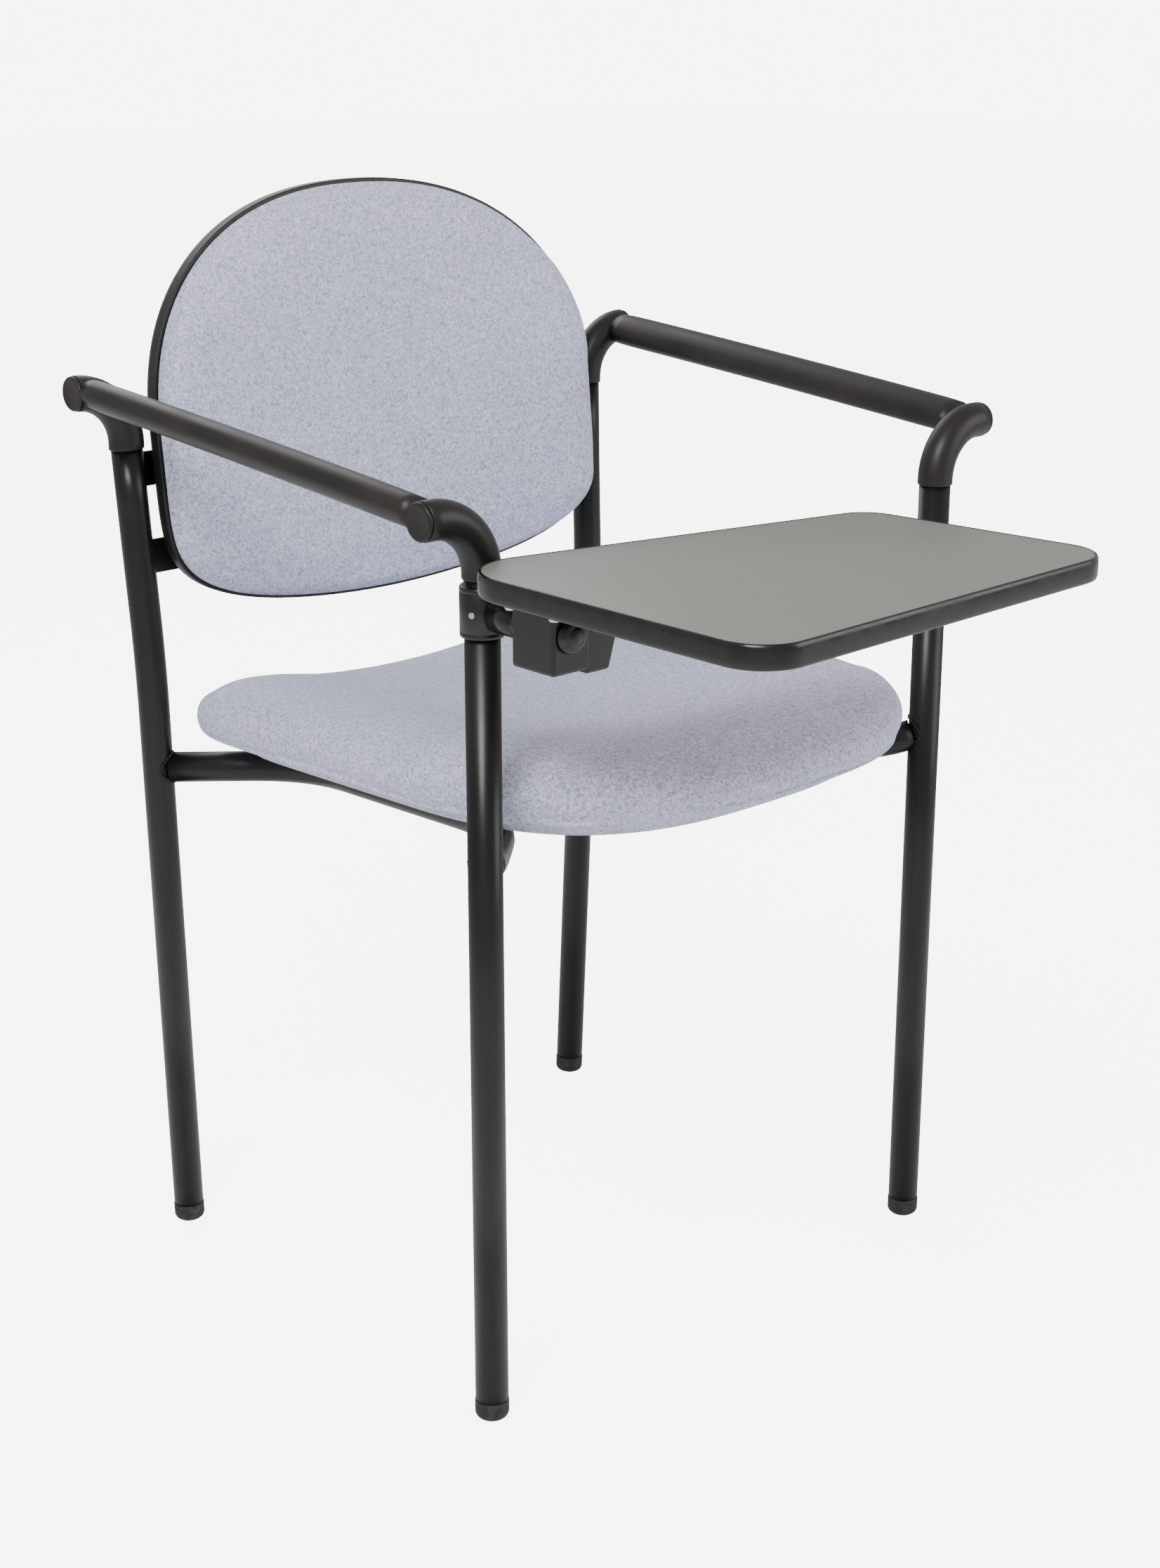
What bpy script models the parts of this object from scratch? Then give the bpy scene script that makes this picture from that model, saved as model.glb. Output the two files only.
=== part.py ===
"""Student desk chair: tube frame, upholstered seat and back, flip-over writing tablet."""
import bmesh
import bpy
import math
from mathutils import Matrix, Vector

# ---------------------------------------------------------------- driving sizes (metres)
FRONT_LEG_Y = -0.0752          # front legs, measured from the middle of the footprint
TUBE_R = 0.0127                # one-inch frame tube
TUBE_WALL = 0.0015
GAP = 0.0003                   # clearance between neighbouring pieces
PRESS = 0.0005                 # clearance of a plug inside a tube
SIDES = 16                     # facets round a tube

SEAT_HALF_W = 0.229            # half width of the seat cushion
FRONT_X = SEAT_HALF_W + 0.0117 # front leg centre line from the middle
BACK_FOOT_X = SEAT_HALF_W - 0.0013  # back leg at the floor
BACK_SPLAY = 0.0301            # outward lean of the back leg per metre of height
BACK_FOOT_Y = 0.4225           # back foot behind the front legs
BACK_BEND_Z = 0.512            # where the back leg turns upward
BACK_BEND_Y = 0.4120
BACK_MID_Z = 0.610
BACK_MID_Y = 0.4176
TABLET_TOP_Z = 0.670
PIVOT_Z = TABLET_TOP_Z - 0.040
COLLAR_Z = (PIVOT_Z - 0.017, PIVOT_Z + 0.019)
FRONT_TOP_Z = COLLAR_Z[1] + 0.004  # where the front elbow starts
BACK_TOP_Z = FRONT_TOP_Z + 0.033
BACK_TOP_Y = 0.4214
GLIDE_H = 0.016

ELBOW_R = 0.0141
ELBOW_TURN = 0.0435            # radius of the elbow's bend
ELBOW_END_X = max(FRONT_X + 0.0518,
                  BACK_FOOT_X + BACK_SPLAY * BACK_TOP_Z + ELBOW_TURN + 0.0006)
CAP_T = 0.003
PLUG_R = TUBE_R - TUBE_WALL - PRESS
PLUG_L = 0.022

GRIP_X = ELBOW_END_X - 0.0115
GRIP_W = 0.0162                # half width of the arm pad
GRIP_T = 0.0118                # half thickness of the arm pad
GRIP_TILT = math.radians(24)
GRIP_BOW = 0.001
CORE_R = 0.0055

RAIL_R = 0.0125
RAIL_IN_X = 0.150              # side rail's straight run under the seat
RAIL_BACK_Z = 0.4215
RAIL_FRONT_Z = 0.446
SEAT_FRONT_Y = -0.083
SEAT_BACK_Y = 0.407
SEAT_REAR_Z = 0.4460           # underside of the cushion at the back
SEAT_TILT = 0.0320             # rise per metre toward the front
SEAT_T = 0.041
BOARD_T = 0.011
BOARD_IN = 0.038               # board set in from the cushion's edge

BACK_HALF_W = SEAT_HALF_W + 0.003
BACK_MID_H = 0.700             # widest level of the back
BACK_TOP = 0.881
BACK_BOTTOM = 0.537
BACK_LEAN = 0.10
BACK_CURVE = 0.020             # how far the sides come forward
BACK_Y = 0.409
PAD_T = 0.025
SHELL_T = 0.009

TABLET_T = 0.0160
LAMINATE_T = 0.0012
BAND_T = 0.0028
TABLET_CORNERS = (              # outer corners seen from above, clockwise from back left
    (-FRONT_X - 0.0443, -0.0085, 0.045), (-FRONT_X + 0.3027, -0.0812, 0.030),
    (-FRONT_X + 0.3237, -0.2915, 0.036), (-FRONT_X - 0.0461, -0.3062, 0.034))
COLLAR_R = 0.0158
PIVOT_R = 0.0060
PIVOT_RUN = 0.00008            # running clearance round the pivot pin
BOSS_R = 0.0118
HOUSING_Y = (-0.089, -0.047)
HOUSING_Z = (PIVOT_Z - 0.0265, PIVOT_Z + 0.0180)
PLATE_T = 0.005

COL = bpy.data.collections.new("student_desk_chair")
CUT = bpy.data.collections.new("cutters")
MATS = {}


def clear():
    for ob in list(bpy.data.objects):
        bpy.data.objects.remove(ob)
    bpy.context.scene.collection.children.link(COL)
    bpy.context.scene.collection.children.link(CUT)


def mat(name, rgb, rough, metal=0.0):
    m = bpy.data.materials.new(name)
    m.use_nodes = True
    b = m.node_tree.nodes["Principled BSDF"]
    b.inputs["Base Color"].default_value = (*rgb, 1.0)
    b.inputs["Roughness"].default_value = rough
    b.inputs["Metallic"].default_value = metal
    MATS[name] = m


def at(x, y, z):
    """A point given from the front legs' plane."""
    return Vector((x, y + FRONT_LEG_Y, z))


def outward(bm):
    bmesh.ops.recalc_face_normals(bm, faces=bm.faces)
    if bm.calc_volume(signed=True) < 0:
        bmesh.ops.reverse_faces(bm, faces=bm.faces)


def add(name, bm, material, origin=None):
    """Turn a bmesh (in part coordinates) into a named node."""
    outward(bm)
    if origin is not None:
        bmesh.ops.translate(bm, verts=bm.verts, vec=-origin)
    me = bpy.data.meshes.new(name)
    bm.to_mesh(me)
    bm.free()
    ob = bpy.data.objects.new(name, me)
    if origin is not None:
        ob.location = origin
    me.materials.append(MATS[material])
    COL.objects.link(ob)
    return ob


def cutter(name, bm):
    outward(bm)
    me = bpy.data.meshes.new(name)
    bm.to_mesh(me)
    bm.free()
    ob = bpy.data.objects.new(name, me)
    CUT.objects.link(ob)
    ob.hide_render = True
    ob.display_type = "WIRE"
    return ob


def cut(ob, tool):
    m = ob.modifiers.new("cut", "BOOLEAN")
    m.operation = "DIFFERENCE"
    m.solver = "EXACT"
    m.object = tool


def turn_to(direction):
    return Vector(direction).to_track_quat("Z", "Y").to_matrix().to_4x4()


def cyl(bm, a, b, r1, r2=None, sides=SIDES, caps=True):
    """A cylinder or cone from point a to point b."""
    a, b = Vector(a), Vector(b)
    m = Matrix.Translation((a + b) / 2) @ turn_to(b - a)
    bmesh.ops.create_cone(bm, cap_ends=caps, segments=sides, radius1=r1,
                          radius2=r1 if r2 is None else r2, depth=(b - a).length, matrix=m)


def turned(axis_from, direction, rings, sides=SIDES):
    """One closed body of revolution from (distance, radius) rings."""
    bm = bmesh.new()
    m = Matrix.Translation(axis_from) @ turn_to(direction)
    loops = [bmesh.ops.create_circle(bm, segments=sides, radius=r,
                                     matrix=m @ Matrix.Translation((0, 0, h)))["verts"] for h, r in rings]
    for a, b in zip(loops, loops[1:]):
        edges = [e for e in bm.edges if all(v in a for v in e.verts) or all(v in b for v in e.verts)]
        bmesh.ops.bridge_loops(bm, edges=edges)
    bmesh.ops.holes_fill(bm, edges=[e for e in bm.edges if e.is_boundary])
    bmesh.ops.triangulate(bm, faces=bm.faces)
    return bm


def block(bm, lo, hi):
    lo, hi = Vector(lo), Vector(hi)
    m = Matrix.Translation((lo + hi) / 2) @ Matrix.Diagonal((*(hi - lo), 1.0))
    bmesh.ops.create_cube(bm, size=1.0, matrix=m)


def sweep(path, radius, scales=None, caps=False):
    """A round bar along a poly line, as a bmesh."""
    cu = bpy.data.curves.new("sweep", "CURVE")
    cu.dimensions = "3D"
    cu.bevel_depth = radius
    cu.bevel_resolution = SIDES // 2 - 2
    cu.use_fill_caps = caps
    sp = cu.splines.new("POLY")
    sp.points.add(len(path) - 1)
    for i, p in enumerate(path):
        sp.points[i].co = (*p, 1.0)
        sp.points[i].radius = 1.0 if scales is None else scales[i]
    ob = bpy.data.objects.new("sweep", cu)
    CUT.objects.link(ob)
    bpy.context.view_layer.update()
    me = bpy.data.meshes.new_from_object(ob.evaluated_get(bpy.context.evaluated_depsgraph_get()))
    bm = bmesh.new()
    bm.from_mesh(me)
    bmesh.ops.remove_doubles(bm, verts=bm.verts, dist=1e-5)
    bpy.data.objects.remove(ob)
    return bm


def tube(name, path, radius, material="frame_black"):
    """A hollow tube, open at both ends."""
    ob = add(name, sweep(path, radius), material)
    m = ob.modifiers.new("wall", "SOLIDIFY")
    m.thickness = TUBE_WALL
    m.offset = -1.0
    m.use_even_offset = True
    return ob


def soften(ob, width, segments=2):
    m = ob.modifiers.new("soften", "BEVEL")
    m.width = width
    m.segments = segments
    m.limit_method = "ANGLE"
    m.angle_limit = math.radians(40)
    return ob


def smooth_path(points, per_turn=5, pull=0.045):
    """Round the corners of a poly line."""
    pts = [Vector(p) for p in points]
    out = [pts[0]]
    for a, b, c in zip(pts, pts[1:], pts[2:]):
        p = b + (a - b).normalized() * min(pull, (a - b).length * 0.45)
        q = b + (c - b).normalized() * min(pull, (c - b).length * 0.45)
        for i in range(per_turn + 1):
            t = i / per_turn
            out.append(p * (1 - t) ** 2 + b * 2 * t * (1 - t) + q * t * t)
    out.append(pts[-1])
    return out


# ---------------------------------------------------------------- legs
def back_leg_point(side, z):
    """Centre line of a back leg at height z."""
    if z <= BACK_BEND_Z:
        y = BACK_FOOT_Y + (BACK_BEND_Y - BACK_FOOT_Y) * z / BACK_BEND_Z
    elif z <= BACK_MID_Z:
        y = BACK_BEND_Y + (BACK_MID_Y - BACK_BEND_Y) * (z - BACK_BEND_Z) / (BACK_MID_Z - BACK_BEND_Z)
    else:
        y = BACK_MID_Y + (BACK_TOP_Y - BACK_MID_Y) * (z - BACK_MID_Z) / (BACK_TOP_Z - BACK_MID_Z)
    return at(side * (BACK_FOOT_X + BACK_SPLAY * z), y, z)


def legs(side, word):
    front = [at(side * FRONT_X, 0, GLIDE_H + GAP), at(side * FRONT_X, 0, FRONT_TOP_Z - GAP)]
    tube("leg_front_" + word, front, TUBE_R)
    levels = (GLIDE_H + GAP, 0.48, 0.50, BACK_BEND_Z, 0.525, 0.545, BACK_MID_Z, BACK_TOP_Z - GAP)
    tube("leg_back_" + word, [back_leg_point(side, z) for z in levels], TUBE_R)
    glide("glide_front_" + word, at(side * FRONT_X, 0, 0), Vector((0, 0, 1)))
    foot = back_leg_point(side, 0)
    glide("glide_back_" + word, foot + Vector((0, 0, 0.00035)), (back_leg_point(side, 0.4) - foot).normalized())


def glide(name, foot, up):
    """A floor glide: flat sole, chamfer, and a plug that goes up the tube."""
    r = TUBE_R + 0.0004
    rings = ((0.0, r - 0.0035), (0.0022, r - 0.0008), (0.0045, r), (GLIDE_H - 0.0012, r),
             (GLIDE_H, PLUG_R), (GLIDE_H + PLUG_L, PLUG_R - 0.0006))
    add(name, turned(foot, up, rings), "glide_plastic")


# ---------------------------------------------------------------- arms
def elbow_path(side, base, lift, lean):
    """Up from the leg, round a quarter turn, and out to the end face."""
    x0 = base.x
    path = [base - lean * PLUG_L, base - lean * 1e-4, base.copy()]
    rise = lift - ELBOW_TURN
    path.append(base + lean * 0.0012)
    path.append(base + Vector((0, 0, rise)))
    for i in range(1, 7):
        a = math.radians(90) * i / 6
        path.append(Vector((x0 + side * ELBOW_TURN * (1 - math.cos(a)), base.y,
                            base.z + rise + ELBOW_TURN * math.sin(a))))
    path.append(Vector((side * ELBOW_END_X, base.y, base.z + lift)))
    scales = [PLUG_R / ELBOW_R, PLUG_R / ELBOW_R] + [1.0] * (len(path) - 2)
    return path, scales


def elbow(name, side, base, lift, lean):
    """One moulded arm elbow with a socket for the arm bar, and its end disc."""
    path, scales = elbow_path(side, base, lift, lean)
    ob = add("elbow_" + name, sweep(path, ELBOW_R, scales, caps=True), "arm_plastic")
    centre = Vector((side * GRIP_X, base.y, base.z + lift))
    bm = bmesh.new()
    x = side * (ELBOW_END_X + GAP)
    cyl(bm, (x, base.y, centre.z), (x + side * CAP_T, base.y, centre.z), ELBOW_R - 0.0006)
    soften(add("arm_end_cap_" + name, bm, "arm_plastic"), 0.0010)
    return centre, ob


def socket(name, ob, start, toward):
    """The hole in an elbow that takes the end of the arm bar."""
    d = (toward - start).normalized()
    tool = bmesh.new()
    cyl(tool, start - d * 0.001, start + d * 0.03, CORE_R + PRESS)
    cut(ob, cutter("socket_" + name, tool))


def grip_point(a, b, t):
    p = a.lerp(b, t)
    p.z += GRIP_BOW * (1 - (2 * t - 1) ** 2)
    return p


def arm(side, word):
    """Two elbows, the steel bar between them and the oval pad over the bar."""
    top = back_leg_point(side, BACK_TOP_Z)
    lean = (top - back_leg_point(side, BACK_TOP_Z - 0.03)).normalized()
    front, low = elbow("front_" + word, side, at(side * FRONT_X, 0, FRONT_TOP_Z), 0.0466, Vector((0, 0, 1)))
    back, high = elbow("back_" + word, side, top, 0.0486, lean)
    reach = Vector((0, 0.0045, 0))
    a, b = front + reach, back - reach
    core = [a] + [grip_point(front, back, t) for t in (0.06, 0.2, 0.35, 0.5, 0.65, 0.8, 0.94)] + [b]
    socket("front_" + word, low, core[0], core[1])
    socket("back_" + word, high, core[-1], core[-2])
    add("arm_bar_" + word, sweep(core, CORE_R, caps=True), "arm_steel")
    bm = bmesh.new()
    bmesh.ops.create_cone(bm, cap_ends=True, segments=20, radius1=1, radius2=1, depth=2)
    long_edges = [e for e in bm.edges if abs(e.verts[0].co.z - e.verts[1].co.z) > 1]
    bmesh.ops.subdivide_edges(bm, edges=long_edges, cuts=9)
    inset = (ELBOW_R + GAP + 0.0002) / (back - front).length
    for v in bm.verts:
        t = inset + (1 - 2 * inset) * (v.co.z + 1) / 2
        c = grip_point(front, back, t)
        roll = side * GRIP_TILT
        px, pz = v.co.x * GRIP_W, v.co.y * GRIP_T
        v.co = c + Vector((px * math.cos(roll) - pz * math.sin(roll), 0,
                           px * math.sin(roll) + pz * math.cos(roll)))
    grip = add("arm_pad_" + word, bm, "arm_plastic")
    bore = [grip_point(front, back, t) for t in (-0.02, 0.06, 0.2, 0.35, 0.5, 0.65, 0.8, 0.94, 1.02)]
    cut(grip, cutter("pad_bore_" + word, sweep(bore, CORE_R + PRESS, caps=True)))


# ---------------------------------------------------------------- frame under the seat
def seat_under(y):
    """Height of the cushion's underside at y (from the front legs)."""
    return SEAT_REAR_Z + SEAT_TILT * (SEAT_BACK_Y - y)


def board_under(y):
    return seat_under(y) - GAP - BOARD_T


def rail_path(side):
    start = back_leg_point(side, RAIL_BACK_Z)
    end = at(side * FRONT_X, 0, RAIL_FRONT_Z)
    drop = RAIL_R + 0.0008

    def under(x, y):
        return at(side * x, y, board_under(y) - drop)
    knots = [start, under(RAIL_IN_X, 0.325), under(RAIL_IN_X, 0.085), under(FRONT_X - 0.0267, 0.025), end]
    return smooth_path(knots, per_turn=5, pull=0.05)


def rail(side, word):
    ob = tube("seat_rail_" + word, rail_path(side), RAIL_R)
    tool = bmesh.new()
    cyl(tool, at(side * FRONT_X, 0, RAIL_FRONT_Z - 0.046), at(side * FRONT_X, 0, RAIL_FRONT_Z + 0.054), TUBE_R + GAP, sides=32)
    cut(ob, cutter("cope_front_" + word, tool))
    tool = bmesh.new()
    cyl(tool, back_leg_point(side, 0.38), back_leg_point(side, 0.47), TUBE_R + GAP, sides=32)
    cut(ob, cutter("cope_back_" + word, tool))


def cross_tube(name, y):
    z = board_under(y) - RAIL_R - 0.0008
    x = RAIL_IN_X - RAIL_R - GAP
    tube(name, [at(-x, y, z), at(x, y, z)], 0.0095)


def tab_places():
    return [(s, y) for s in (-1, 1) for y in (0.150, 0.260)]


def seat_fixings():
    """Four tabs welded to the rails and the screws that hold the board down."""
    holes = bmesh.new()
    for s, y in tab_places():
        z = board_under(y)
        word = ("right" if s < 0 else "left") + ("_front" if y < 0.2 else "_back")
        bm = bmesh.new()
        x1, x2 = sorted((s * (RAIL_IN_X - 0.038), s * (RAIL_IN_X - 0.0088)))
        block(bm, at(x1, y - 0.014, z - 0.0040), at(x2, y + 0.014, z - 0.0010))
        ob = soften(add("seat_tab_" + word, bm, "frame_black"), 0.0006, 1)
        x = s * (RAIL_IN_X - 0.026)
        tool = bmesh.new()
        cyl(tool, at(x, y, z - 0.006), at(x, y, z + 0.001), 0.0027, sides=12)
        cut(ob, cutter("tab_hole_" + word, tool))
        rings = ((0, 0.0036), (0.0024, 0.0050), (0.0027, 0.0021), (0.0150, 0.0021))
        add("seat_screw_" + word, turned(at(x, y, z - 0.0070), (0, 0, 1), rings, 12), "zinc")
        cyl(holes, at(x, y, z - 0.003), at(x, y, z + 0.0088), 0.0024, sides=12)
    return cutter("seat_screw_holes", holes)


# ---------------------------------------------------------------- upholstery
def pad_bmesh(cuts, place):
    """A subdivided cube whose points are moved by place(a, b, c)."""
    bm = bmesh.new()
    bmesh.ops.create_cube(bm, size=2.0)
    bmesh.ops.subdivide_edges(bm, edges=bm.edges[:], cuts=cuts, use_grid_fill=True)
    for v in bm.verts:
        v.co = place(*v.co)
    return bm


def squircle(a, b, n_low, n_high):
    """Move a point of the unit square into a rounded outline."""
    r = max(abs(a), abs(b))
    if r < 1e-9:
        return a, b
    n = n_high if b > 0 else n_low
    k = (abs(a / r) ** n + abs(b / r) ** n) ** (1.0 / n)
    return a / k, b / k


def seat_xy(a, b, inset):
    p, q = squircle(a, b, 2.9, 14.0)
    half = (SEAT_BACK_Y - SEAT_FRONT_Y) / 2
    mid = (SEAT_BACK_Y + SEAT_FRONT_Y) / 2
    return p * (SEAT_HALF_W - inset), mid + q * (half - inset)


def seat_top(x, y):
    """Height of the sat-on face above the underside."""
    side = 0.004 * math.exp(-((abs(x) - 0.165) / 0.05) ** 2)
    dish = 0.012 * math.exp(-(x / 0.12) ** 2) * min(1.0, max(0.0, (y + 0.02) / 0.15))
    nose = 0.010 * max(0.0, (0.03 - y) / 0.11) ** 2
    rise = 0.012 * (SEAT_BACK_Y - y)
    return SEAT_T + rise + side - dish - nose


def seat():
    roll = 0.016

    def soft(a, b, c):
        s = roll * (1 - math.sqrt(max(0.0, 1 - c * c)))
        x, y = seat_xy(a, b, s)
        return at(x, y, seat_under(y) + seat_top(x, y) * (c + 1) / 2)

    def hard(a, b, c):
        x, y = seat_xy(a, b, BOARD_IN)
        return at(x, y, board_under(y) + BOARD_T * (c + 1) / 2)
    add("seat_cushion", pad_bmesh(9, soft), "fabric")
    holes = seat_fixings()
    cut(add("seat_board", pad_bmesh(3, hard), "plywood"), holes)


def back_y(x, z):
    """Middle surface of the back cushion."""
    return BACK_Y + BACK_LEAN * (z - 0.640) - BACK_CURVE * (x / BACK_HALF_W) ** 2


def back_xz(a, b, inset):
    p, q = squircle(a, b, 7.0, 2.25)
    x = p * (BACK_HALF_W - inset)
    if q > 0:
        z = BACK_MID_H + q * (BACK_TOP - BACK_MID_H - inset)
    else:
        z = BACK_MID_H + q * (BACK_MID_H - BACK_BOTTOM - inset)
        z += 0.036 * (x / BACK_HALF_W) ** 2 * -q
    return x, z


def back():
    roll = 0.010

    def soft(a, b, c):
        s = roll * (1 - math.sqrt(max(0.0, 1 - c * c))) if c < 0 else 0.0
        x, z = back_xz(a, b, 0.001 + s)
        return at(x, back_y(x, z) + c * PAD_T / 2, z)

    def hard(a, b, c):
        x, z = back_xz(a, b, 0.0)
        return at(x, back_y(x, z) + PAD_T / 2 + GAP + 0.0003 + SHELL_T * (c + 1) / 2, z)
    add("back_cushion", pad_bmesh(9, soft), "fabric")
    shell = add("back_shell", pad_bmesh(9, hard), "shell_plastic")
    holes = bmesh.new()
    for s in (-1, 1):
        for z, word in ((0.598, "low"), (0.668, "high")):
            back_bracket(s, z, ("right_" if s < 0 else "left_") + word, holes)
    cut(shell, cutter("back_bolt_holes", holes))


def back_bracket(s, z, word, holes):
    """A flat ear welded to the upright, behind the shell, with one bolt."""
    bx = BACK_HALF_W - 0.018
    y = back_y(BACK_HALF_W - 0.034, z + 0.014) + PAD_T / 2 + GAP + SHELL_T + 0.0006
    bm = bmesh.new()
    x1, x2 = sorted((s * (BACK_HALF_W - 0.034), s * (BACK_HALF_W + 0.013)))
    block(bm, at(x1, y, z - 0.014), at(x2, y + 0.003, z + 0.014))
    ob = soften(add("back_bracket_" + word, bm, "frame_black"), 0.0006, 1)
    tool = bmesh.new()
    cyl(tool, back_leg_point(s, z - 0.03), back_leg_point(s, z + 0.03), TUBE_R + GAP, sides=32)
    cut(ob, cutter("ear_cope_" + word, tool))
    tool = bmesh.new()
    cyl(tool, at(s * bx, y - 0.02, z), at(s * bx, y + 0.02, z), 0.0036, sides=12)
    cut(ob, cutter("ear_hole_" + word, tool))
    rings = ((0, 0.0050), (0.0032, 0.0066), (0.0035, 0.0030), (0.0150, 0.0030))
    add("back_bolt_" + word, turned(at(s * bx, y + 0.0068, z), (0, -1, 0), rings, 12), "zinc")
    cyl(holes, at(s * bx, y - 0.0088, z), at(s * bx, y + 0.004, z), 0.0034, sides=12)


# ---------------------------------------------------------------- writing tablet
def outline_prism(inset, z1, z2):
    """The tablet's outline as a prism, its corners rounded."""
    bm = bmesh.new()
    bmesh.ops.create_cube(bm, size=2.0)
    pts = [Vector((x, y)) for x, y, _ in TABLET_CORNERS]
    mid = sum(pts, Vector((0, 0))) / 4
    order = {(-1, 1): 0, (1, 1): 1, (1, -1): 2, (-1, -1): 3}
    radii = {}
    for v in bm.verts:
        i = order[(round(v.co.x), round(v.co.y))]
        p = pts[i]
        d = Vector((math.copysign(inset, mid.x - p.x), math.copysign(inset, mid.y - p.y)))
        v.co = at(p.x + d.x, p.y + d.y, z2 if v.co.z > 0 else z1)
        radii[v.index] = TABLET_CORNERS[i][2] - inset
    for i in range(4):
        uprights = [e for e in bm.edges if abs(e.verts[0].co.z - e.verts[1].co.z) > (z2 - z1) / 2
                    and (e.verts[0].co.xy - e.verts[1].co.xy).length < 1e-6
                    and (e.verts[0].co.xy - at(pts[i].x, pts[i].y, 0).xy).length < inset * 1.5 + 1e-5]
        bmesh.ops.bevel(bm, geom=uprights, offset=TABLET_CORNERS[i][2] - inset, offset_type="OFFSET",
                        segments=7, profile=0.5, affect="EDGES")
    return bm


def tablet(pivot):
    low = TABLET_TOP_Z - TABLET_T
    holes = bmesh.new()
    spots = [(x - FRONT_X, y) for x in (-0.0233, 0.0907) for y in (-0.056, -0.099)]
    plate_top = low - GAP
    plate_low = plate_top - PLATE_T
    rings = ((0, 0.0034), (0.0024, 0.0048), (0.0027, 0.0021), (0.0180, 0.0021))
    for i, (x, y) in enumerate(spots):
        cyl(holes, at(x, y, plate_low - 0.001), at(x, y, low + 0.0115), 0.0026, sides=12)
        add("tablet_screw_%d" % (i + 1), turned(at(x, y, plate_low - 0.0030), (0, 0, 1), rings, 12),
            "zinc", pivot)
    tool = cutter("tablet_screw_holes", holes)
    board = add("tablet_board", outline_prism(BAND_T, low, TABLET_TOP_Z - LAMINATE_T - GAP),
                "board_core", pivot)
    cut(board, tool)
    add("tablet_laminate", outline_prism(BAND_T, TABLET_TOP_Z - LAMINATE_T, TABLET_TOP_Z),
        "laminate", pivot)
    band = add("tablet_edge_band", outline_prism(0.0, low - 0.0002, TABLET_TOP_Z + 0.0002),
               "edge_plastic", pivot)
    cut(band, cutter("band_inside", outline_prism(BAND_T - GAP, low - 0.01, TABLET_TOP_Z + 0.01)))
    bm = bmesh.new()
    block(bm, at(-FRONT_X - 0.0313, -0.110, plate_low), at(-FRONT_X + 0.1047, -0.0450, plate_top))
    plate = soften(add("tablet_plate", bm, "frame_black", pivot), 0.0008, 1)
    cut(plate, tool)


def bracket():
    """Collar, fixed boss and pin on the leg; housing, web and nut turn with the tablet."""
    leg = Vector((-FRONT_X, 0, 0))
    pivot = at(leg.x, HOUSING_Y[1], PIVOT_Z)
    bm = bmesh.new()
    cyl(bm, at(leg.x, 0, COLLAR_Z[0]), at(leg.x, 0, COLLAR_Z[1]), COLLAR_R, sides=28)
    collar = soften(add("tablet_collar", bm, "bracket_plastic"), 0.0010, 2)
    tool = bmesh.new()
    cyl(tool, at(leg.x, 0, COLLAR_Z[0] - 0.01), at(leg.x, 0, COLLAR_Z[1] + 0.01), TUBE_R + GAP, sides=28)
    cut(collar, cutter("collar_bore", tool))
    d = Vector((-0.93, -0.37, 0)).normalized()
    c = at(leg.x, 0, PIVOT_Z + 0.0005)
    tool = bmesh.new()
    cyl(tool, c + d * (TUBE_R - 0.002), c + d * (COLLAR_R + 0.004), 0.0027, sides=12)
    cut(collar, cutter("collar_screw_hole", tool))
    bm = bmesh.new()
    cyl(bm, c + d * (TUBE_R + 0.0004), c + d * (COLLAR_R + 0.0004), 0.0023, sides=12)
    soften(add("collar_screw", bm, "zinc"), 0.0004, 1)
    bm = bmesh.new()
    cyl(bm, at(leg.x, -0.006, PIVOT_Z), at(leg.x, HOUSING_Y[1] + GAP, PIVOT_Z), BOSS_R, sides=24)
    boss = soften(add("tablet_boss", bm, "bracket_plastic"), 0.0008, 1)
    tool = bmesh.new()
    cyl(tool, at(leg.x, 0, PIVOT_Z - 0.05), at(leg.x, 0, PIVOT_Z + 0.05), COLLAR_R + GAP, sides=28)
    cut(boss, cutter("boss_cope", tool))
    tool = bmesh.new()
    cyl(tool, at(leg.x, 0.0, PIVOT_Z), at(leg.x, -0.12, PIVOT_Z), PIVOT_R + PIVOT_RUN, sides=24)
    bore = cutter("pivot_bore", tool)
    cut(boss, bore)
    bm = bmesh.new()
    cyl(bm, at(leg.x, -0.0185, PIVOT_Z), at(leg.x, HOUSING_Y[0] - 0.0075, PIVOT_Z), PIVOT_R, sides=24)
    add("pivot_pin", bm, "zinc")
    bm = bmesh.new()
    block(bm, at(leg.x - 0.0153, HOUSING_Y[0], HOUSING_Z[0]), at(leg.x + 0.0182, HOUSING_Y[1], HOUSING_Z[1]))
    housing = soften(add("hinge_housing", bm, "bracket_plastic", pivot), 0.0022, 2)
    cut(housing, bore)
    tool = bmesh.new()
    cyl(tool, at(leg.x - 0.0193, -0.072, PIVOT_Z - 0.017), at(leg.x - 0.0128, -0.072, PIVOT_Z - 0.017), 0.0024, sides=12)
    cut(housing, cutter("housing_dimple", tool))
    bm = bmesh.new()
    block(bm, at(leg.x + 0.0185, -0.085, PIVOT_Z - 0.031), at(leg.x + 0.0547, -0.052, HOUSING_Z[1]))
    for v in bm.verts:
        if v.co.x > leg.x + 0.04 and v.co.z < PIVOT_Z - 0.02:
            v.co.x -= 0.015
    soften(add("hinge_web", bm, "bracket_plastic", pivot), 0.0020, 2)
    bm = bmesh.new()
    y = HOUSING_Y[0] - GAP
    cyl(bm, at(leg.x, y, PIVOT_Z), at(leg.x, y - 0.0060, PIVOT_Z), 0.0125, 0.0095, sides=24)
    nut = add("pivot_nut", bm, "bracket_plastic")
    cut(nut, bore)
    return pivot


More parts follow.
